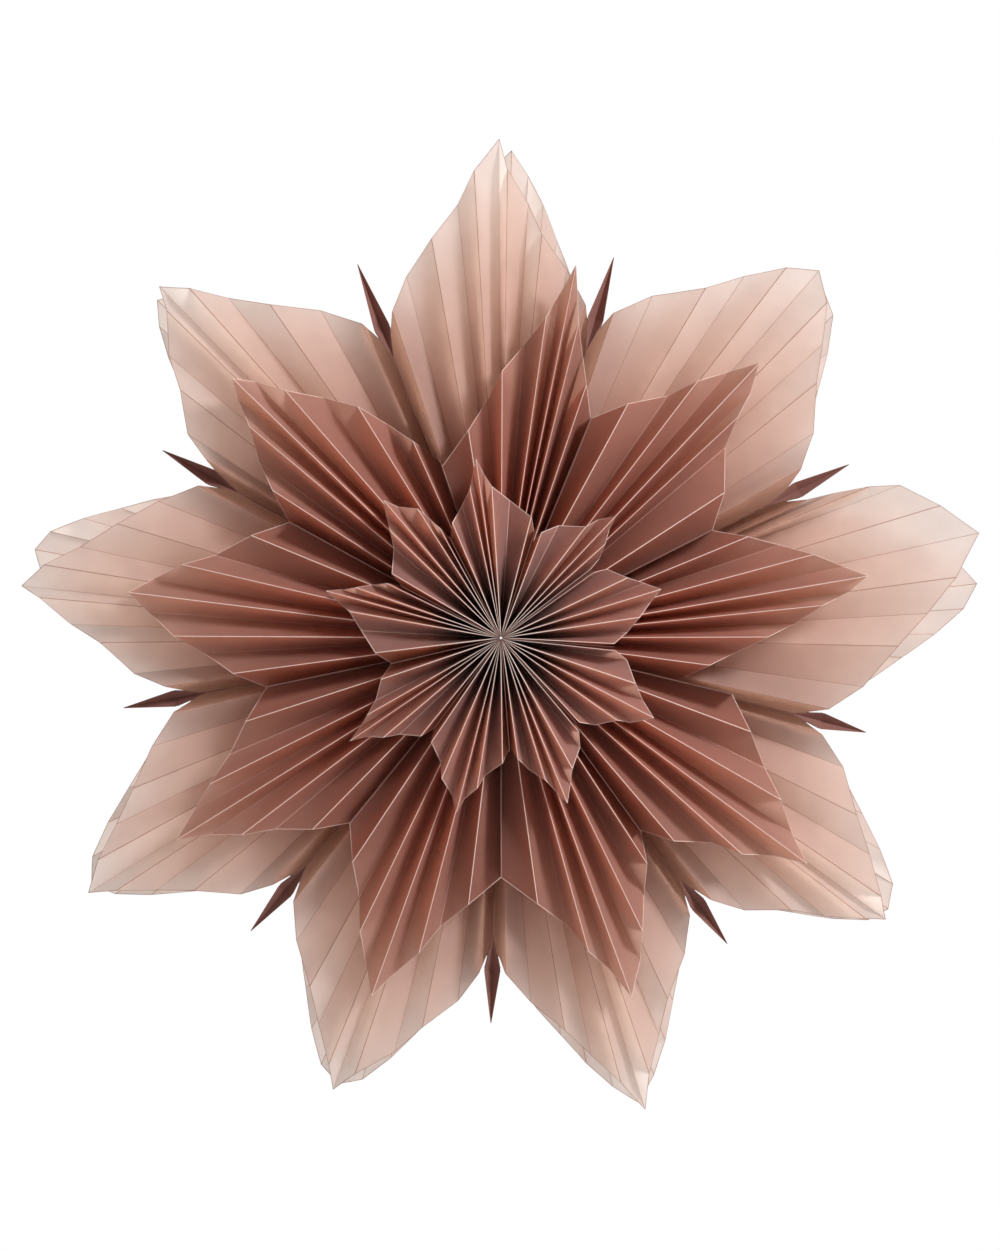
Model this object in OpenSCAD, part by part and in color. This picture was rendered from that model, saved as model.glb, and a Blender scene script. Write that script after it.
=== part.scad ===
// Hanging paper star with nine points, glued together from pleated paper petals.
// Nine large petals stand round the hub on the front and nine on the back, between dark end walls
// whose points show between the petals. A middle and a small star, each of nine pleated petals and
// its own end walls, are stacked on each side.
// All sizes are in millimetres. The star hangs upright: +Z is up, the front faces -Y,
// and the hub is at the origin.

/* [Paper] */
// Thickness of the paper
paper_t = 0.2; // [0.1:0.05:0.4]
// Thickness of the glue between a petal and an end wall
glue_t = 0.05; // [0.02:0.01:0.2]
// Gap between two stars where they are stacked
tier_gap = 0.2; // [0.1:0.05:1]
// Least slope of a pleat at the rim, in degrees
rim_slope = 14; // [8:1:30]
// Distance from the hub's axis at which the pleats begin
hub_r = 2.5; // [1.5:0.5:6]

/* [Outer petals] */
// Distance from the hub to the tip of an outer petal
outer_tip_r = 299; // [285:1:310]
// Length that each fold of an outer petal is shorter than the next one towards the tip
outer_step = 18.6; // [17:0.1:20]
// Width of an outer petal's pleats
outer_pleat = 18; // [14:1:24]

/* [Middle petals] */
// Distance from the hub to the tip of a middle petal
middle_tip_r = 226; // [210:1:240]
// Length that each fold of a middle petal is shorter than the next one towards the tip
middle_step = 16.8; // [14:0.1:19]
// Width of a middle petal's pleats
middle_pleat = 18; // [12:1:26]

/* [Inner petals] */
// Distance from the hub to the tip of an inner petal
inner_tip_r = 107; // [95:1:120]
// Length that each fold of an inner petal is shorter than the next one towards the tip
inner_step = 8; // [6:0.1:10]
// Width of an inner petal's pleats
inner_pleat = 14; // [10:1:20]

/* [End walls] */
// Distance from the hub's axis at which the end walls begin
wall_start_r = 0.8; // [0.75:0.05:1.4]
// Distance from the hub to the end of a large end wall's point
wall_tip_r = 233; // [225:1:245]
// Distance by which the two walls of a point spring apart at their edges
wall_flare = 4.7; // [1:0.1:4.8]
// Width of the blunt end of a wall's point
wall_tip_h = 0.8; // [0.4:0.1:2]
// Diameter of the punched hanging hole
hole_d = 5; // [3:0.5:6]
// Distance of the hanging hole's centre from the end of the wall's point
hole_inset = 35; // [32:1:38]

/* [Hidden] */
CELLS = 9;
LAST = CELLS - 1;
// Directions of the glued end walls of each star, in degrees counter-clockwise from +X
OUTER_AT = [26.5, 73.5, 111, 151, 190.5, 229.5, 268.5, 306.5, 345.5];
MIDDLE_AT = [27, 67.7, 109, 151.2, 191.7, 230.7, 270, 305.9, 346.4];
INNER_AT = [36.5, 72.5, 117, 152.4, 193, 233.4, 274.3, 311.5, 355.5];
// Extra length of each large wall's point
WALL_EXTRA = [1, 6, 8, 0, -2, -1, -1, -4, -6];
// Large walls with a punched hole
HOLED = [1, 5];

// One row for each petal of the front: the extra length of its folds, the extra length of its
// tip, the fold at the tip, and the directions of its folds between the two end walls
FRONT_OUTER = [
    [0, -7, 6, [29.3, 33.2, 38.9, 42.4, 45.8, 49.1, 52.4, 56.1, 59.7, 66.2, 71]],
    [0, 1, 6, [75.7, 79.8, 84.2, 86.4, 89.2, 90.2, 93.3, 95.7, 99.9, 104.7, 108.5]],
    [0, -4, 6, [113.8, 118.8, 124.7, 128.7, 131.7, 134.2, 135.6, 139.7, 142.3, 147, 148.9]],
    [-3, -6, 6, [153.2, 158.2, 163.4, 167.8, 170.9, 173.8, 175, 178.2, 180.7, 185.6, 188.3]],
    [-5, -2, 6, [192.7, 197.2, 202.2, 205.8, 208.8, 211.7, 213.3, 216.2, 219.5, 224.6, 227.3]],
    [-5, -4, 6, [231.7, 235.9, 241.2, 244.7, 248, 249.6, 251.5, 255.6, 258.6, 263.3, 266.3]],
    [-5, 3, 6, [270.7, 274.6, 279.2, 282.2, 285.1, 287, 288.8, 291.7, 294.8, 300.2, 304.3]],
    [-5, -7, 6, [308.7, 311.8, 316.8, 319.3, 322.4, 323.8, 325.8, 329.6, 333.6, 339.4, 343.3]],
    [-5, 0, 6, [347.7, 352.3, 358.8, 363.3, 367.6, 372.4, 376.8, 381, 382.4, 383.5, 384.4]]
];
FRONT_MIDDLE = [
    [0, -2, 5, [33, 40.3, 43, 44.5, 46.8, 49.5, 52.6, 55.5, 61.6]],
    [0, 0, 5, [71.3, 73.8, 76.1, 77.3, 78.6, 80.2, 82, 85.5, 89.8, 93.5, 99]],
    [3, -7, 7, [114, 118, 121.7, 126.5, 131.1, 133.8, 136, 137.8, 140, 144, 147.2]],
    [2, -5, 5, [157.6, 163.8, 167, 170.5, 173, 175.8, 179.7, 183, 187.6]],
    [1, 0, 5, [198, 203.2, 206.6, 209.3, 211.9, 214, 217.2, 220.3, 225.5]],
    [1, -1, 5, [236.4, 241.3, 244.3, 247.4, 250.1, 252.4, 255.4, 258.1, 263.1]],
    [1, 0, 5, [277.8, 283, 285.6, 288.4, 290, 293.3, 295.8, 299, 303]],
    [0, 0, 5, [310.4, 315.9, 318.1, 321.5, 323.6, 326.2, 330, 333.8, 339.5]],
    [0, -5, 7, [352.5, 356.8, 360.2, 362.8, 365.8, 367.5, 369.6, 371.8, 375, 378.5, 382.4]]
];
FRONT_INNER = [
    [-8, 0, 5, [37.4, 38.8, 42, 45, 46.7, 50.6, 52.7, 63.1, 69.2]],
    [-1, 1, 5, [75.8, 86.4, 93.5, 96, 98, 100, 101.8, 106.5, 113.1]],
    [0, 0, 5, [119, 120.9, 122.7, 128, 130.4, 133.3, 136, 140, 149.6]],
    [0, 0, 5, [154.2, 157.5, 160.7, 163, 164.8, 167.5, 170, 177, 186.8]],
    [0, 1, 5, [198.8, 206.3, 209.8, 212.3, 214.2, 216.2, 220.2, 223.5, 230.8]],
    [-1, 0, 5, [236, 244, 247, 252.9, 255.6, 257.2, 261, 263.5, 270.8]],
    [-3, 1, 5, [277.8, 282, 287.3, 289.5, 291.9, 295.4, 298.7, 306, 309.9]],
    [-7, 2, 5, [312.8, 317.1, 324.6, 327, 332.4, 336.3, 341.4, 350.2, 354]],
    [-8, 0, 5, [357, 362.5, 368.5, 373.3, 377, 381.1, 385.6, 393.3, 395.6]]
];

// One row for each petal of the back, where the panels of a petal are alike: how far the tip
// leans from the middle of its cell in degrees, and the extra length of its point
BACK_OUTER = [[-3, -13], [-3.5, -5], [4.5, -8], [-1.5, -13], [1, -11], [1, -13], [-1, -7], [-1, -14],
    [0.5, -10]];
BACK_MIDDLE = [[2, 1], [3, -1], [-3, 2], [2, 0], [-2, -2], [4, 1], [2, -1], [3, 2], [-3, 0]];
BACK_INNER = [[3, 1], [-4, -2], [4, 0], [1, 2], [-4, -1], [4, 1], [-1, -2], [4, 0], [-3, 1]];

// Panels on each side of an outer petal's tip, and of a smaller one's
OUTER_PANELS = 6;
SMALL_PANELS = 5;
// Where a petal's pleats are given a row of points, as shares of its shortest fold
OUTER_ROWS = [0.3, 0.65];
MIDDLE_ROWS = [0.3, 0.65];
INNER_ROWS = [0.4];
// Most that the inside of a fold may lie behind its crest: at the hub the folds are crushed thinner
FOLD_INSIDE = 5;
// Share of an end wall's height, on each side of the middle, that stays flat
WALL_FLAT = 0.5;
// Distance past the outer petals' side corners at which an end wall's point is widest
FLARE_PAST = 12;
// Length of wall over which the point springs open
FLARE_RUN = 20;

outer_colour = [0.87, 0.76, 0.70];
middle_colour = [0.63, 0.43, 0.38];
inner_colour = [0.52, 0.34, 0.31];
wall_colour = [0.40, 0.27, 0.24];

// Distance from the hub to a petal's side corners, on its end walls
outer_side_r = outer_tip_r - OUTER_PANELS * outer_step;
middle_side_r = middle_tip_r - SMALL_PANELS * middle_step;
inner_side_r = inner_tip_r - SMALL_PANELS * inner_step;

PLEATS = [outer_pleat, middle_pleat, inner_pleat];

// Height above the star's middle plane at which a tier's share of the stack begins
function stacked(tier) = tier == 0 ? 0 : stacked(tier - 1) + PLEATS[tier - 1] + paper_t + tier_gap;

function cell_to(at, i) = i < LAST ? at[i + 1] : at[0] + 360;

// Share of the angle passed by a share of the panels, when all are equally wide at the edge
function spread(share, side_r, tip_r) =
    let (growth = tip_r / side_r - 1)
    (sqrt(1 + 2 * growth * share * (1 + growth / 2)) - 1) / growth;

// A row like those of the front, for a petal whose panels are alike
function even_row(at, i, row, panels, side_r, tip_r) =
    let (tip_at = (at[i] + cell_to(at, i)) / 2 + row[0])
    let (shares = [for (k = [1:panels - 1]) spread(k / panels, side_r, tip_r)])
    [0, row[1], panels, concat(
        [for (u = shares) at[i] + u * (tip_at - at[i])],
        [tip_at],
        [for (k = [panels - 2:-1:0]) cell_to(at, i) + shares[k] * (tip_at - cell_to(at, i))]
    )];

// Direction and length of each fold of a petal, from its clockwise wall to the other one
function folds(at, i, row, tip_r, step) =
    let (directions = concat([at[i]], row[3], [cell_to(at, i)]))
    [for (k = [0:len(directions) - 1])
        [directions[k], tip_r + row[0] + (k == row[2] ? row[1] : 0) - abs(k - row[2]) * step]];

// Width across panel k at radius r, in the star's plane
function panel_chord(f, k, r, pleat) = min(r * (f[k + 1][0] - f[k][0]) * PI / 180, pleat * cos(rim_slope));

// Width across the two panels beside fold k, or twice the one beside an end
function chords(f, k, r, pleat) =
    [panel_chord(f, max(k - 1, 0), r, pleat), panel_chord(f, min(k, len(f) - 2), r, pleat)];

function pleat_depth(chord, pleat) = sqrt(pleat * pleat - chord * chord);

// A fold's direction at radius r, where walls and glue leave less room for the pleats
function squeezed(f, k, r) =
    let (inset = asin((paper_t + glue_t) / r))
    let (from = f[0][0])
    let (width = f[len(f) - 1][0] - from)
    from + inset + (f[k][0] - from) / width * (width - 2 * inset);

// Points of fold k at radius r on the two faces of the paper: [front face, back face].
// The inside of a fold lies deeper than its crest, so that the paper keeps its thickness.
function fold_points(f, k, r, pleat, base) =
    let (w = chords(f, k, r, pleat))
    let (depth = (w[0] * pleat_depth(w[0], pleat) + w[1] * pleat_depth(w[1], pleat)) / (w[0] + w[1]))
    let (inside = min(paper_t * pleat / min(w) - paper_t / 2, FOLD_INSIDE, depth))
    let (ridge = k % 2 == 1)
    let (z = base + (ridge ? pleat + depth : pleat - depth) / 2)
    let (turned = squeezed(f, k, r))
    [for (rise = ridge ? [paper_t / 2, -inside] : [inside, -paper_t / 2])
        [r * cos(turned), r * sin(turned), z + rise]];

// Two triangles for a four-cornered patch
function patch(a, b, c, d) = [[a, b, c], [a, c, d]];

// A closed sheet between two grids of points, each with its rows from the hub outwards
module sheet(over, under) {
    rows = len(over) - 1;
    cols = len(over[0]) - 1;
    step = cols + 1;
    far = (rows + 1) * step;
    faces = concat(
        [for (j = [0:rows - 1], k = [0:cols - 1]) let (p = j * step + k)
            each patch(p, p + 1, p + step + 1, p + step)],
        [for (j = [0:rows - 1], k = [0:cols - 1]) let (p = far + j * step + k)
            each patch(p, p + step, p + step + 1, p + 1)],
        [for (k = [0:cols - 1]) each patch(k, far + k, far + k + 1, k + 1)],
        [for (k = [0:cols - 1]) let (p = rows * step + k)
            each patch(p, p + 1, far + p + 1, far + p)],
        [for (j = [0:rows - 1]) let (p = j * step)
            each patch(p, p + step, far + p + step, far + p)],
        [for (j = [0:rows - 1]) let (p = j * step + cols)
            each patch(p + step, p, far + p, far + p + step)]
    );
    polyhedron(points = concat([for (row = over) each row], [for (row = under) each row]), faces = faces);
}

// One pleated petal in the star's plane, with its ridges towards +Z
module petal(f, side_r, shares, tier) {
    pleat = PLEATS[tier];
    base = stacked(tier) + (tier_gap + paper_t) / 2;
    count = len(shares) + 1;
    grid = [for (j = [0:count]) [for (k = [0:len(f) - 1])
        let (r = j == 0 ? hub_r : j == count ? f[k][1] : min(shares[j - 1] * side_r, f[k][1] - 1))
        fold_points(f, k, r, pleat, base)]];
    sheet([for (line = grid) [for (p = line) p[0]]], [for (line = grid) [for (p = line) p[1]]]);
}

// One large end wall along +X, on the +Y side of the glued face
module wall(i) {
    tip_r = wall_tip_r + WALL_EXTRA[i];
    wide_r = outer_side_r + FLARE_PAST;
    open_r = wide_r - FLARE_RUN;
    half = stacked(1) - tier_gap / 2;
    wide_h = half * (tip_r - wide_r) / (tip_r - open_r);
    stations = [
        [wall_start_r, half, 0], [open_r, half, 0], [wide_r, wide_h, wall_flare], [tip_r, wall_tip_h / 2, 0]
    ];
    levels = [1, WALL_FLAT, -WALL_FLAT, -1];
    function face(y) = [for (s = stations) [for (level = levels)
        [s[0], y + (abs(level) == 1 ? s[2] : 0), level * s[1]]]];
    difference() {
        sheet(face(paper_t), face(0));
        if (len(search(i, HOLED)) > 0)
            translate([wall_tip_r - hole_inset, 0, 0])
                rotate([90, 0, 0])
                    cylinder(h = 4 * paper_t, d = hole_d, center = true, $fn = 48);
    }
}

// The flat end walls of one smaller star, front and back, on one side of their glued faces
module small_walls(at, side_r, tier, side) {
    color(wall_colour) upright()
        for (turn = at, back = [0, 1])
            mirror([0, 0, back]) rotate([0, 0, turn]) mirror([0, side, 0])
                translate([wall_start_r, 0, stacked(tier) + tier_gap / 2])
                    cube([side_r - wall_start_r, paper_t, PLEATS[tier] + paper_t]);
}

// Turns the star's plane upright, with its front towards -Y
module upright() {
    rotate([90, 0, 0]) children();
}

// The same for the petals of the back, whose ridges are towards +Y
module upright_back() {
    upright() mirror([0, 0, 1]) children();
}

module outer_petal(i, row) {
    color(outer_colour)
        petal(folds(OUTER_AT, i, row, outer_tip_r, outer_step), outer_side_r, OUTER_ROWS, 0);
}

module middle_petal(i, row) {
    color(middle_colour)
        petal(folds(MIDDLE_AT, i, row, middle_tip_r, middle_step), middle_side_r, MIDDLE_ROWS, 1);
}

module inner_petal(i, row) {
    color(inner_colour)
        petal(folds(INNER_AT, i, row, inner_tip_r, inner_step), inner_side_r, INNER_ROWS, 2);
}

// The nine large walls that close the cells on their clockwise side
module clockwise_walls() {
    color(wall_colour) upright()
        for (i = [0:LAST]) rotate([0, 0, OUTER_AT[i]]) wall(i);
}

// The nine large walls that close the cells on their counter-clockwise side
module counter_walls() {
    color(wall_colour) upright()
        for (i = [0:LAST]) rotate([0, 0, OUTER_AT[i]]) mirror([0, 1, 0]) wall(i);
}

function names(group) = [for (i = [1:CELLS]) str(group, i)];

for (i = [0:LAST]) {
    upright() inner_petal(i, FRONT_INNER[i]);
    upright() middle_petal(i, FRONT_MIDDLE[i]);
    upright() outer_petal(i, FRONT_OUTER[i]);
    upright_back() outer_petal(i,
            even_row(OUTER_AT, i, BACK_OUTER[i], OUTER_PANELS, outer_side_r, outer_tip_r));
    upright_back() middle_petal(i,
            even_row(MIDDLE_AT, i, BACK_MIDDLE[i], SMALL_PANELS, middle_side_r, middle_tip_r));
    upright_back() inner_petal(i,
            even_row(INNER_AT, i, BACK_INNER[i], SMALL_PANELS, inner_side_r, inner_tip_r));
}
clockwise_walls();
counter_walls();
small_walls(MIDDLE_AT, middle_side_r, 1, 0);  // middle_clockwise_walls
small_walls(MIDDLE_AT, middle_side_r, 1, 1);  // middle_counter_walls
small_walls(INNER_AT, inner_side_r, 2, 0);  // inner_clockwise_walls
small_walls(INNER_AT, inner_side_r, 2, 1);  // inner_counter_walls
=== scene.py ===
"""The looks of a hanging paper star: every pleated petal as a thin folded sheet, and its light.

Lengths are in metres. The petals are worked out in the star's plane, with +Z out of its front,
and then turned upright: the star hangs with +Z up and its front towards -Y, hub at the origin.
"""
import math
import random

import bpy
import numpy as np
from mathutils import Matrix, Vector


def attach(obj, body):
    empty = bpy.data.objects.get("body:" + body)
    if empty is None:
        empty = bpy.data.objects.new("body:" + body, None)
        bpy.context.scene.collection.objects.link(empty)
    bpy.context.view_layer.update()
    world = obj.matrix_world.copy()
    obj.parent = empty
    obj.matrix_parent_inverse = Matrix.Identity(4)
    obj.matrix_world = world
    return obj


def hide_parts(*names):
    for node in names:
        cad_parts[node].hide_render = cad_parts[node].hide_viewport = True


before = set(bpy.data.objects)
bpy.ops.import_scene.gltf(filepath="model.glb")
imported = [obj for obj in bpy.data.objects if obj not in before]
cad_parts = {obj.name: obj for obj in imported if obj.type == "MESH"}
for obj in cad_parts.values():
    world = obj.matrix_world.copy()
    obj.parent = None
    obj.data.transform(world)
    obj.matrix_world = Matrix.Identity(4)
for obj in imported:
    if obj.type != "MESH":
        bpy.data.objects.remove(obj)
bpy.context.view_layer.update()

MM = 0.001

# Sizes of the star, as in its solids
PAPER_T = 0.2 * MM
GLUE_T = 0.05 * MM
TIER_GAP = 0.2 * MM
RIM_SLOPE = math.radians(14)

# Directions of the glued end walls of each star, in degrees counter-clockwise from +X
OUTER_AT = [26.5, 73.5, 111, 151, 190.5, 229.5, 268.5, 306.5, 345.5]
MIDDLE_AT = [27, 67.7, 109, 151.2, 191.7, 230.7, 270, 305.9, 346.4]
INNER_AT = [36.5, 72.5, 117, 152.4, 193, 233.4, 274.3, 311.5, 355.5]
CELLS = len(OUTER_AT)

# One row for each petal of the front: the extra length of its folds and of its tip in mm, the
# fold at the tip, and the directions of its folds between the two end walls
FRONT_OUTER = [
    (0, -7, 6, [29.3, 33.2, 38.9, 42.4, 45.8, 49.1, 52.4, 56.1, 59.7, 66.2, 71]),
    (0, 1, 6, [75.7, 79.8, 84.2, 86.4, 89.2, 90.2, 93.3, 95.7, 99.9, 104.7, 108.5]),
    (0, -4, 6, [113.8, 118.8, 124.7, 128.7, 131.7, 134.2, 135.6, 139.7, 142.3, 147, 148.9]),
    (-3, -6, 6, [153.2, 158.2, 163.4, 167.8, 170.9, 173.8, 175, 178.2, 180.7, 185.6, 188.3]),
    (-5, -2, 6, [192.7, 197.2, 202.2, 205.8, 208.8, 211.7, 213.3, 216.2, 219.5, 224.6, 227.3]),
    (-5, -4, 6, [231.7, 235.9, 241.2, 244.7, 248, 249.6, 251.5, 255.6, 258.6, 263.3, 266.3]),
    (-5, 3, 6, [270.7, 274.6, 279.2, 282.2, 285.1, 287, 288.8, 291.7, 294.8, 300.2, 304.3]),
    (-5, -7, 6, [308.7, 311.8, 316.8, 319.3, 322.4, 323.8, 325.8, 329.6, 333.6, 339.4, 343.3]),
    (-5, 0, 6, [347.7, 352.3, 358.8, 363.3, 367.6, 372.4, 376.8, 381, 382.4, 383.5, 384.4]),
]
FRONT_MIDDLE = [
    (0, -2, 5, [33, 40.3, 43, 44.5, 46.8, 49.5, 52.6, 55.5, 61.6]),
    (0, 0, 5, [71.3, 73.8, 76.1, 77.3, 78.6, 80.2, 82, 85.5, 89.8, 93.5, 99]),
    (3, -7, 7, [114, 118, 121.7, 126.5, 131.1, 133.8, 136, 137.8, 140, 144, 147.2]),
    (2, -5, 5, [157.6, 163.8, 167, 170.5, 173, 175.8, 179.7, 183, 187.6]),
    (1, 0, 5, [198, 203.2, 206.6, 209.3, 211.9, 214, 217.2, 220.3, 225.5]),
    (1, -1, 5, [236.4, 241.3, 244.3, 247.4, 250.1, 252.4, 255.4, 258.1, 263.1]),
    (1, 0, 5, [277.8, 283, 285.6, 288.4, 290, 293.3, 295.8, 299, 303]),
    (0, 0, 5, [310.4, 315.9, 318.1, 321.5, 323.6, 326.2, 330, 333.8, 339.5]),
    (0, -5, 7, [352.5, 356.8, 360.2, 362.8, 365.8, 367.5, 369.6, 371.8, 375, 378.5, 382.4]),
]
FRONT_INNER = [
    (-8, 0, 5, [37.4, 38.8, 42, 45, 46.7, 50.6, 52.7, 63.1, 69.2]),
    (-1, 1, 5, [75.8, 86.4, 93.5, 96, 98, 100, 101.8, 106.5, 113.1]),
    (0, 0, 5, [119, 120.9, 122.7, 128, 130.4, 133.3, 136, 140, 149.6]),
    (0, 0, 5, [154.2, 157.5, 160.7, 163, 164.8, 167.5, 170, 177, 186.8]),
    (0, 1, 5, [198.8, 206.3, 209.8, 212.3, 214.2, 216.2, 220.2, 223.5, 230.8]),
    (-1, 0, 5, [236, 244, 247, 252.9, 255.6, 257.2, 261, 263.5, 270.8]),
    (-3, 1, 5, [277.8, 282, 287.3, 289.5, 291.9, 295.4, 298.7, 306, 309.9]),
    (-7, 2, 5, [312.8, 317.1, 324.6, 327, 332.4, 336.3, 341.4, 350.2, 354]),
    (-8, 0, 5, [357, 362.5, 368.5, 373.3, 377, 381.1, 385.6, 393.3, 395.6]),
]

# One row for each petal of the back, where the panels of a petal are alike: how far the tip
# leans from the middle of its cell in degrees, and the extra length of its tip in mm
BACK_OUTER = [(-3, -13), (-3.5, -5), (4.5, -8), (-1.5, -13), (1, -11), (1, -13), (-1, -7), (-1, -14),
              (0.5, -10)]
BACK_MIDDLE = [(2, 1), (3, -1), (-3, 2), (2, 0), (-2, -2), (4, 1), (2, -1), (3, 2), (-3, 0)]
BACK_INNER = [(3, 1), (-4, -2), (4, 0), (1, 2), (-4, -1), (4, 1), (-1, -2), (4, 0), (-3, 1)]

# The three stars of each side. valley: how round the valleys are, from 0, creased, to 1.
# wave: how far the sheet buckles at its edge
OUTER = dict(at=OUTER_AT, tip_r=299 * MM, step=18.6 * MM, pleat=18 * MM, panels=6,
             slot="outer_paper", valley=(0.05, 0.45), wave=0.9 * MM)
MIDDLE = dict(at=MIDDLE_AT, tip_r=226 * MM, step=16.8 * MM, pleat=18 * MM, panels=5,
              slot="middle_paper", valley=(0.3, 0.75), wave=0.5 * MM)
INNER = dict(at=INNER_AT, tip_r=107 * MM, step=8 * MM, pleat=14 * MM, panels=5,
             slot="inner_paper", valley=(0.4, 0.8), wave=0.25 * MM)
height = (TIER_GAP + PAPER_T) / 2
for form in (OUTER, MIDDLE, INNER):
    form["side_r"] = form["tip_r"] - form["panels"] * form["step"]
    form["base"] = height
    height += form["pleat"] + PAPER_T + TIER_GAP

# The finer form of the sheets: where they begin at the hub
HUB_R = 1.0 * MM
# Half the width of a ridge's crest and how far it drops to its panel, each with its most as a
# share of the panel's width and depth
CREST_HALF = 0.26 * MM
CREST_MOST = 0.3
CREST_DROP = 0.1 * MM
DROP_MOST = 0.25
# Half the width of a valley's crease, with its most as a share of the panel's width
VALLEY_HALF = 0.16 * MM
VALLEY_MOST = 0.1
# Width of the pale cut edge at the rim, which is drawn in the folds' material and on the small stars is
# partly a painted highlight
CUT_EDGE = 0.35 * MM
# Most that half the paper's thickness may be, as a share of the distance between two columns
HALF_MOST = 0.4
# Where a panel's columns and a petal's rows lie, as shares from ridge to valley and from hub to rim
ACROSS = [0.14, 0.32, 0.52, 0.72, 0.88]
ALONG = [0, 0.012, 0.03, 0.06, 0.1, 0.16, 0.24, 0.33, 0.43, 0.53, 0.63, 0.73, 0.83, 0.92]

# The materials of a sheet: its panels, its folds and rim, and the panels glued to end walls, which are
# darkened with painted shade of the gaps by the walls
PANEL, FOLD, SHADED_FLAP = 0, 1, 2
# The columns on either side of a fold
CREASED = {"crest", "crease"}

# Distances from the hub between which the painted shade, where the folds of each star shade each other,
# grows less and less
OUTER_HUB_SHADE = (120 * MM, 280 * MM)
MIDDLE_HUB_SHADE = (50 * MM, 220 * MM)
INNER_HUB_SHADE = (3 * MM, 45 * MM)

# The paper's own pattern: soft clouds in its colour, and the bump of its fibres
CLOUD_SCALE = 60
CLOUD_CONTRAST = 0.06
FIBRE_SCALE = 1400
FIBRE_BUMP = 0.12
FIBRE_DEPTH = 0.05 * MM

# The photograph's frame: its size, the pixel of the hub, and the length that a pixel shows
FRAME_PX = (1000, 1250)
HUB_PX = (501, 638)
PIXEL = 0.6 * MM
# Distance of the camera from the plane where a pixel shows that length, and how far that plane
# lies before the star's middle
CAMERA_FAR = 2.6
PLANE_OUT = 9 * MM
# In mm, over the frame's longer side
SENSOR_W = 36

# Light of the surround on the paper's faces, where 1 is white
AMBIENT = 0.24

# Height of the floor, and half its width, which keeps it out of the view from the front
FLOOR_Z = -0.8
FLOOR_HALF = 2.4

WALL_NODES = [star + turn + "_walls" for star in ("", "middle_", "inner_")
              for turn in ("clockwise", "counter")]


def cell_to(at, i):
    """Direction of the wall that closes cell i counter-clockwise."""
    return at[i + 1] if i < CELLS - 1 else at[0] + 360


def spread(share, form):
    """Share of the angle passed by a share of the panels, when all are equally wide at the edge."""
    growth = form["tip_r"] / form["side_r"] - 1
    return (math.sqrt(1 + 2 * growth * share * (1 + growth / 2)) - 1) / growth


def even_row(i, row, form):
    """A row like those of the front, for a petal whose panels are alike."""
    lean, extra = row
    count = form["panels"]
    start, end = form["at"][i], cell_to(form["at"], i)
    tip_at = (start + end) / 2 + lean
    shares = [spread(k / count, form) for k in range(1, count)]
    return (0, extra, count, [start + u * (tip_at - start) for u in shares] + [tip_at]
            + [end + u * (tip_at - end) for u in reversed(shares)])


def folds(i, row, form):
    """Direction and length of each fold, from the clockwise wall to the other one."""
    longer, tip_extra, tip, directions = row
    directions = [form["at"][i]] + directions + [cell_to(form["at"], i)]
    lengths = [form["tip_r"] + longer * MM - abs(k - tip) * form["step"]
               for k in range(len(directions))]
    lengths[tip] += tip_extra * MM
    return list(zip(directions, lengths))


def fold_heights(at, radii, form):
    """Height of every fold at every radius: each panel keeps the pleat's width as the fan opens."""
    middle_r = (radii[:, 1:] + radii[:, :-1]) / 2
    chord = np.minimum(middle_r * np.radians(np.diff(at)), form["pleat"] * math.cos(RIM_SLOPE))
    depth = np.sqrt(form["pleat"] ** 2 - chord ** 2)
    low = np.concatenate([chord[:, :1], chord], axis=1)
    high = np.concatenate([chord, chord[:, -1:]], axis=1)
    low_depth = np.concatenate([depth[:, :1], depth], axis=1)
    high_depth = np.concatenate([depth, depth[:, -1:]], axis=1)
    depth = (low * low_depth + high * high_depth) / (low + high)
    up = np.where(np.arange(len(at)) % 2 == 1, 1, -1)
    return form["base"] + (form["pleat"] + up * depth) / 2


def fold_lines(ends, form, rng):
    """Points along every fold, as rows from the hub to the cut edge."""
    at = np.array([a for a, _ in ends])
    reach = np.array([r for _, r in ends])
    radii = np.array([HUB_R + (reach - HUB_R) * v for v in ALONG] + [reach - CUT_EDGE, reach])
    base = form["base"]
    z = fold_heights(at, radii, form)
    inset = np.degrees(np.arcsin((PAPER_T + GLUE_T) / radii))
    width = at[-1] - at[0]
    turned = np.radians(at[0] + inset + (at - at[0]) / width * (width - 2 * inset))
    grow = (radii / form["side_r"]) ** 2
    stray = np.array([rng.uniform(-1, 1) for _ in ends]) * form["wave"]
    z = np.clip(z + grow * stray, base, base + form["pleat"])
    return np.stack([radii * np.cos(turned), radii * np.sin(turned), z], axis=-1)


def panel_columns(ridge, valley, roundness, bend, form):
    """Columns between a ridge and a valley, from the ridge on, each at its share of the way across."""
    flat = np.linalg.norm((valley - ridge)[:, :2], axis=1)
    crest = np.minimum(CREST_HALF / flat, CREST_MOST)
    crease = np.minimum(VALLEY_HALF / flat, VALLEY_MOST)
    fall = ridge[:, 2] - valley[:, 2]
    dropped = np.minimum(CREST_DROP, DROP_MOST * fall) / fall
    columns = []
    for q in [0] + ACROSS + [1]:
        share = crest + (1 - crease - crest) * q
        across = (share - crest) / (1 - crest)
        curve = (1 - roundness) * across + roundness * np.sin(across * math.pi / 2)
        point = ridge + (valley - ridge) * share[:, None]
        point[:, 2] = ridge[:, 2] - fall * (dropped + (1 - dropped) * curve)
        point[:, 2] += bend * np.sin(across * math.pi)
        columns.append(point)
    return columns


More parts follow.
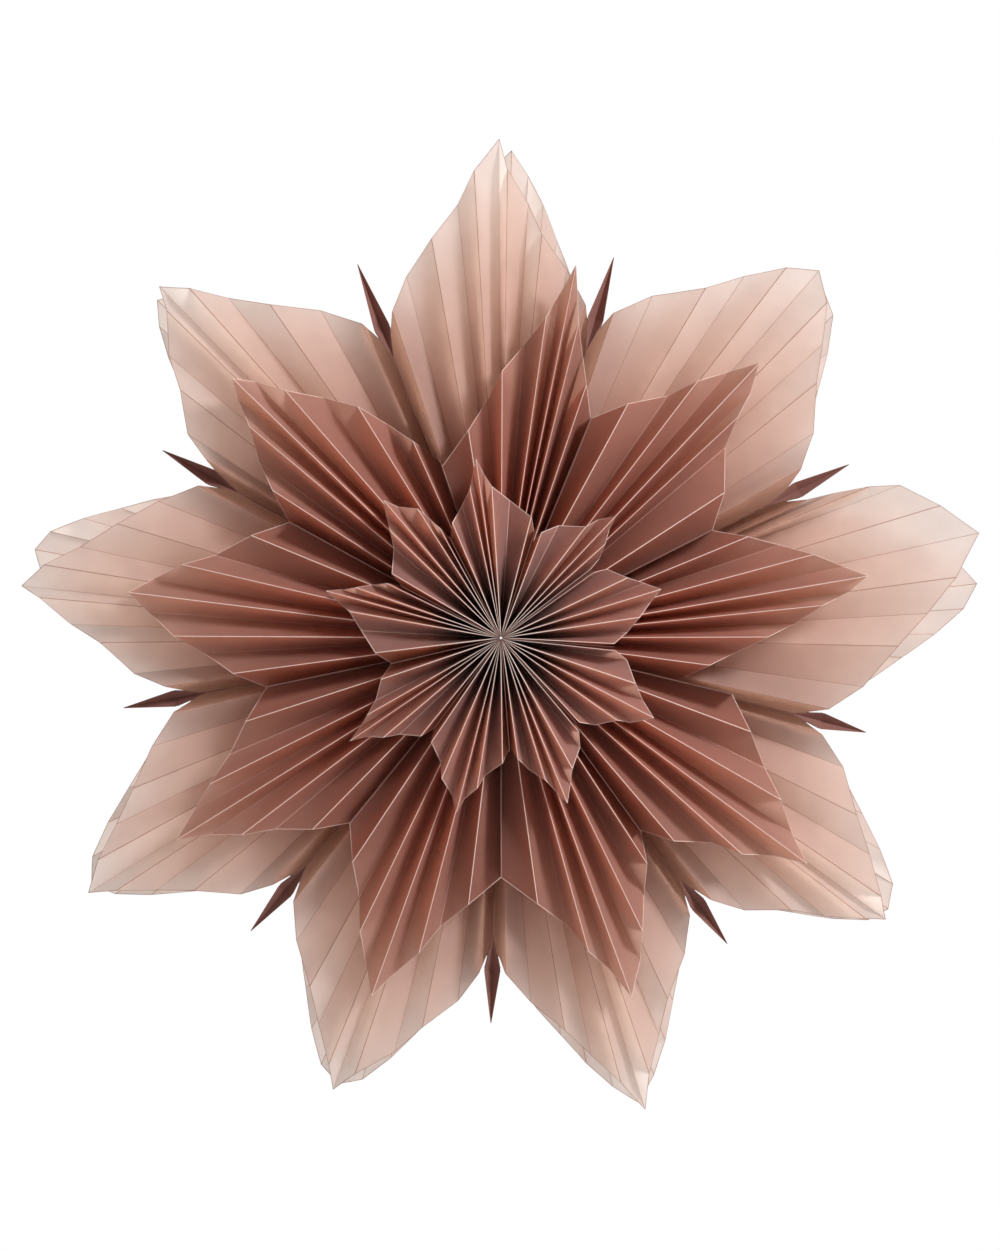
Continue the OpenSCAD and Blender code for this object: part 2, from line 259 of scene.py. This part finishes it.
def petal_columns(ends, form, rng):
    """The middle surface of a petal as rows by columns, and what each column is a part of."""
    lines = fold_lines(ends, form, rng)
    rows = lines.shape[0]
    grow = (np.linalg.norm(lines[:, :, :2], axis=2).mean(axis=1) / form["side_r"]) ** 2
    columns, kinds = [lines[:, 0]], ["fold"]
    for k in range(len(ends) - 1):
        a, b = lines[:, k], lines[:, k + 1]
        rising = k % 2 == 0
        roundness = rng.uniform(*form["valley"]) * np.ones(rows)
        bend = rng.uniform(-1, 1) * form["wave"] * grow
        between = panel_columns(b if rising else a, a if rising else b, roundness, bend, form)
        # The two end panels take the flap material, darker with painted shade
        plain = "flap" if k in (0, len(ends) - 2) else "paper"
        marks = ["crest"] + [plain] * len(ACROSS) + ["crease"]
        if rising:
            between, marks = between[::-1], marks[::-1]
        columns += between + [b]
        kinds += marks + ["fold"]
    return np.stack(columns, axis=1), kinds


def sheet_faces(middle):
    """The front and the back face of the paper, which is thinner where folds are crushed."""
    along = np.gradient(middle, axis=0)
    across = np.gradient(middle, axis=1)
    normal = np.cross(along, across)
    normal /= np.linalg.norm(normal, axis=2, keepdims=True)
    step = np.linalg.norm(np.diff(middle, axis=1)[:, :, :2], axis=2)
    room = np.minimum(np.pad(step, ((0, 0), (1, 0)), "edge"), np.pad(step, ((0, 0), (0, 1)), "edge"))
    half = np.minimum(PAPER_T / 2, HALF_MOST * room)[:, :, None]
    return middle + normal * half, middle - normal * half


def sheet_quads(rows, cols, kinds):
    """The faces of a closed sheet between two grids of points, and the material of each."""
    far = rows * cols
    faces, looks = [], []
    for j in range(rows - 1):
        for k in range(cols - 1):
            p = j * cols + k
            pair = {kinds[k], kinds[k + 1]}
            folded = "fold" in pair and pair & CREASED
            look = FOLD if folded or j == rows - 2 else SHADED_FLAP if "flap" in pair else PANEL
            faces.append((p, p + 1, p + cols + 1, p + cols))
            faces.append((far + p, far + p + cols, far + p + cols + 1, far + p + 1))
            looks += [look, look]
    for k in range(cols - 1):
        end = (rows - 1) * cols + k
        faces.append((k, far + k, far + k + 1, k + 1))
        faces.append((end, end + 1, far + end + 1, far + end))
        looks += [FOLD, FOLD]
    for j in range(rows - 1):
        p = j * cols
        e = p + cols - 1
        faces.append((p, p + cols, far + p + cols, far + p))
        faces.append((e + cols, e, far + e, far + e + cols))
        looks += [PANEL, PANEL]
    return faces, looks


def mark_sharp(mesh, rows, cols, kinds):
    """Makes the edges along the folds and round the cut edge sharp."""
    ends = np.zeros(len(mesh.edges) * 2, int)
    mesh.edges.foreach_get("vertices", ends)
    ends = ends.reshape(-1, 2) % (rows * cols)
    row, col = ends // cols, ends % cols
    sharp_col = np.array([kind in CREASED | {"fold"} for kind in kinds])
    lengthwise = (col[:, 0] == col[:, 1]) & (row[:, 0] != row[:, 1])
    border = np.isin(row, (0, rows - 1)).all(axis=1) | np.isin(col, (0, cols - 1)).all(axis=1)
    attribute = mesh.attributes.new("sharp_edge", "BOOLEAN", "EDGE")
    attribute.data.foreach_set("value", (lengthwise & sharp_col[col[:, 0]]) | border)


def build_sheet(name, over, under, kinds, materials):
    """A closed thin mesh between two grids of points, with crisp folds and cut edges."""
    rows, cols = over.shape[:2]
    faces, looks = sheet_quads(rows, cols, kinds)
    mesh = bpy.data.meshes.new(name)
    mesh.from_pydata(np.concatenate([over.reshape(-1, 3), under.reshape(-1, 3)]).tolist(), [], faces)
    mesh.polygons.foreach_set("material_index", looks)
    mesh.polygons.foreach_set("use_smooth", [True] * len(faces))
    mark_sharp(mesh, rows, cols, kinds)
    for material in materials:
        mesh.materials.append(material)
    mesh.validate()
    mesh.update()
    piece = bpy.data.objects.new(name, mesh)
    bpy.context.scene.collection.objects.link(piece)
    return piece


def upright(points, back):
    """Turns points of the star's plane upright, with its front towards -Y, or the back to +Y."""
    x, y, z = points[..., 0], points[..., 1], points[..., 2]
    return np.stack([x, z if back else -z, y], axis=-1)


def make_petal(group, i, row, form, materials, back):
    """The sheet that stands for petal i of a group, counted from 0."""
    node = f"{group}_{i + 1}"
    rng = random.Random(node)
    ends = folds(i, row, form)
    middle, kinds = petal_columns(ends, form, rng)
    over, under = sheet_faces(middle)
    over, under = upright(over, back), upright(under, back)
    if back:
        over, under = under, over
    piece = build_sheet(node + "_sheet", over, under, kinds, materials)
    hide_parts(node)
    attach(piece, "root")
    return piece


def nodes_of(material):
    """The emptied node tree of a material, with its nodes and links."""
    material.use_nodes = True
    tree = material.node_tree
    tree.nodes.clear()
    return tree, tree.nodes, tree.links


def paper(name, face, through, share, hub_shade=(1, 1, 1), hub_shade_r=(0, 1)):
    """Thin matt paper: face is its own colour, through the colour of light that comes through it,
    and share how much of the light passes. Hub_shade is painted shade that darkens it towards the hub,
    where the folds shade each other, and fades out between the two distances hub_shade_r."""
    material = bpy.data.materials.new(name)
    tree, nodes, links = nodes_of(material)
    out = nodes.new("ShaderNodeOutputMaterial")
    mix = nodes.new("ShaderNodeMixShader")
    mix.inputs["Fac"].default_value = share
    diffuse = nodes.new("ShaderNodeBsdfDiffuse")
    translucent = nodes.new("ShaderNodeBsdfTranslucent")
    place = nodes.new("ShaderNodeTexCoord")
    cloud = nodes.new("ShaderNodeTexNoise")
    cloud.inputs["Scale"].default_value = CLOUD_SCALE
    cloud.inputs["Detail"].default_value = 6
    cloud.inputs["Roughness"].default_value = 0.6
    fibre = nodes.new("ShaderNodeTexNoise")
    fibre.inputs["Scale"].default_value = FIBRE_SCALE
    fibre.inputs["Detail"].default_value = 3
    links.new(place.outputs["Object"], cloud.inputs["Vector"])
    links.new(place.outputs["Object"], fibre.inputs["Vector"])
    in_plane = nodes.new("ShaderNodeVectorMath")
    in_plane.operation = "MULTIPLY"
    in_plane.inputs[1].default_value = (1, 0, 1)
    links.new(place.outputs["Object"], in_plane.inputs[0])
    from_hub = nodes.new("ShaderNodeVectorMath")
    from_hub.operation = "LENGTH"
    links.new(in_plane.outputs["Vector"], from_hub.inputs[0])
    outwards = nodes.new("ShaderNodeMapRange")
    outwards.inputs["From Min"].default_value = hub_shade_r[0]
    outwards.inputs["From Max"].default_value = hub_shade_r[1]
    links.new(from_hub.outputs["Value"], outwards.inputs["Value"])
    # Painted shade: both colours darken towards the hub
    hub_shade_mix = nodes.new("ShaderNodeMix")
    hub_shade_mix.data_type = "RGBA"
    hub_shade_mix.inputs["A"].default_value = (*hub_shade, 1)
    hub_shade_mix.inputs["B"].default_value = (1, 1, 1, 1)
    links.new(outwards.outputs["Result"], hub_shade_mix.inputs["Factor"])
    for shader, colour in ((diffuse, face), (translucent, through)):
        shade = nodes.new("ShaderNodeMix")
        shade.data_type = "RGBA"
        links.new(cloud.outputs["Fac"], shade.inputs["Factor"])
        shade.inputs["A"].default_value = (*[c * (1 - CLOUD_CONTRAST) for c in colour], 1)
        shade.inputs["B"].default_value = (*[min(c * (1 + CLOUD_CONTRAST), 1)
                                             for c in colour], 1)
        shaded = nodes.new("ShaderNodeVectorMath")
        shaded.operation = "MULTIPLY"
        links.new(shade.outputs["Result"], shaded.inputs[0])
        links.new(hub_shade_mix.outputs["Result"], shaded.inputs[1])
        links.new(shaded.outputs["Vector"], shader.inputs["Color"])
    bump = nodes.new("ShaderNodeBump")
    bump.inputs["Strength"].default_value = FIBRE_BUMP
    bump.inputs["Distance"].default_value = FIBRE_DEPTH
    links.new(fibre.outputs["Fac"], bump.inputs["Height"])
    links.new(bump.outputs["Normal"], diffuse.inputs["Normal"])
    links.new(diffuse.outputs["BSDF"], mix.inputs[1])
    links.new(translucent.outputs["BSDF"], mix.inputs[2])
    links.new(mix.outputs["Shader"], out.inputs["Surface"])
    return material


def white_world():
    """A white surround for what is seen straight, by reflection or through the paper, and an
    even soft light for the paper's faces."""
    world = bpy.data.worlds.new("surround")
    bpy.context.scene.world = world
    world.use_nodes = True
    world.cycles.sampling_method = "NONE"
    nodes, links = world.node_tree.nodes, world.node_tree.links
    nodes.clear()
    out = nodes.new("ShaderNodeOutputWorld")
    mix = nodes.new("ShaderNodeMixShader")
    path = nodes.new("ShaderNodeLightPath")
    seen = path.outputs["Is Camera Ray"]
    for other in ("Is Glossy Ray", "Is Transmission Ray"):
        either = nodes.new("ShaderNodeMath")
        either.operation = "MAXIMUM"
        links.new(seen, either.inputs[0])
        links.new(path.outputs[other], either.inputs[1])
        seen = either.outputs["Value"]
    links.new(seen, mix.inputs["Fac"])
    for slot, strength in ((1, AMBIENT), (2, 1.0)):
        light = nodes.new("ShaderNodeBackground")
        light.inputs["Color"].default_value = (1, 1, 1, 1)
        light.inputs["Strength"].default_value = strength
        links.new(light.outputs["Background"], mix.inputs[slot])
    links.new(mix.outputs["Shader"], out.inputs["Surface"])


def soft_lamp(name, place, size, power):
    """A round lamp that shines on the hub."""
    data = bpy.data.lights.new(name, "AREA")
    data.shape = "DISK"
    data.size = size
    data.energy = power
    lamp = bpy.data.objects.new(name, data)
    lamp.location = place
    lamp.rotation_euler = (-Vector(place)).to_track_quat("-Z", "Y").to_euler()
    bpy.context.scene.collection.objects.link(lamp)


def make_camera():
    """Straight on from the front, with the hub where the photograph has it."""
    wide, high = FRAME_PX
    data = bpy.data.cameras.new("camera")
    data.sensor_width = SENSOR_W
    data.lens = SENSOR_W * CAMERA_FAR / (high * PIXEL)
    camera = bpy.data.objects.new("camera", data)
    camera.location = ((wide / 2 - HUB_PX[0]) * PIXEL, -CAMERA_FAR - PLANE_OUT,
                       (HUB_PX[1] - high / 2) * PIXEL)
    camera.rotation_euler = (math.radians(90), 0, 0)
    bpy.context.scene.collection.objects.link(camera)
    bpy.context.scene.camera = camera


def make_floor():
    """A plain pale floor well below the star."""
    corners = [(x * FLOOR_HALF, y * FLOOR_HALF, FLOOR_Z) for x, y in ((-1, -1), (1, -1), (1, 1), (-1, 1))]
    mesh = bpy.data.meshes.new("floor")
    mesh.from_pydata(corners, [], [(0, 1, 2, 3)])
    floor = bpy.data.objects.new("floor", mesh)
    material = bpy.data.materials.new("pale_floor")
    tree, nodes, links = nodes_of(material)
    out = nodes.new("ShaderNodeOutputMaterial")
    diffuse = nodes.new("ShaderNodeBsdfDiffuse")
    diffuse.inputs["Color"].default_value = (0.85, 0.85, 0.84, 1)
    links.new(diffuse.outputs["BSDF"], out.inputs["Surface"])
    mesh.materials.append(material)
    bpy.context.scene.collection.objects.link(floor)


make_camera()
bpy.context.scene.view_settings.view_transform = "Standard"
white_world()
soft_lamp("key", place=(2.1, -1.7, 1.7), size=0.9, power=97)
make_floor()

# Each paper's own colour, the colour of light through it, the share of light that passes, and
# the painted shade towards the hub
outer_paper = paper("outer_paper", (0.88, 0.71, 0.68), (0.955, 0.905, 0.87), 0.83,
                    (0.97, 0.89, 0.85), OUTER_HUB_SHADE)
middle_paper = paper("middle_paper", (0.65, 0.455, 0.415), (0.84, 0.70, 0.63), 0.78,
                     (0.93, 0.67, 0.585), MIDDLE_HUB_SHADE)
inner_paper = paper("inner_paper", (0.76, 0.50, 0.47), (0.82, 0.62, 0.54), 0.82,
                    (0.35, 0.30, 0.28), INNER_HUB_SHADE)
wall_paper = paper("wall_paper", (0.34, 0.17, 0.145), (0.50, 0.26, 0.21), 0.4)
outer_crease = paper("outer_crease", (0.46, 0.30, 0.25), (0.66, 0.47, 0.40), 0.6)
# The small stars' pale fold and rim lines: partly crushed paper, partly a painted highlight on ridges and
# edges
small_crease_highlight = paper("small_crease_highlight", (1.0, 0.74, 0.66), (0.8, 0.6, 0.5), 0.05)
# The end panels' darker colours are painted shade in the gaps next to the walls
outer_flap_shade = paper("outer_flap_shade", (0.62, 0.40, 0.34), (0.84, 0.70, 0.62), 0.78)
small_flap_shade = paper("small_flap_shade", (0.58, 0.33, 0.28), (0.74, 0.48, 0.38), 0.76,
                   (0.4, 0.35, 0.33), INNER_HUB_SHADE)

for i in range(CELLS):
    for star, form, looks, front, back in (
            ("inner", INNER, (inner_paper, small_crease_highlight, small_flap_shade), FRONT_INNER, BACK_INNER),
            ("middle", MIDDLE, (middle_paper, small_crease_highlight, small_flap_shade), FRONT_MIDDLE, BACK_MIDDLE),
            ("outer", OUTER, (outer_paper, outer_crease, outer_flap_shade), FRONT_OUTER, BACK_OUTER)):
        make_petal(f"front_{star}_petal", i, front[i], form, looks, False)
        make_petal(f"back_{star}_petal", i, even_row(i, back[i], form), form, looks, True)

for name in WALL_NODES:
    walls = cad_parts[name].data
    walls.materials.clear()
    walls.materials.append(wall_paper)
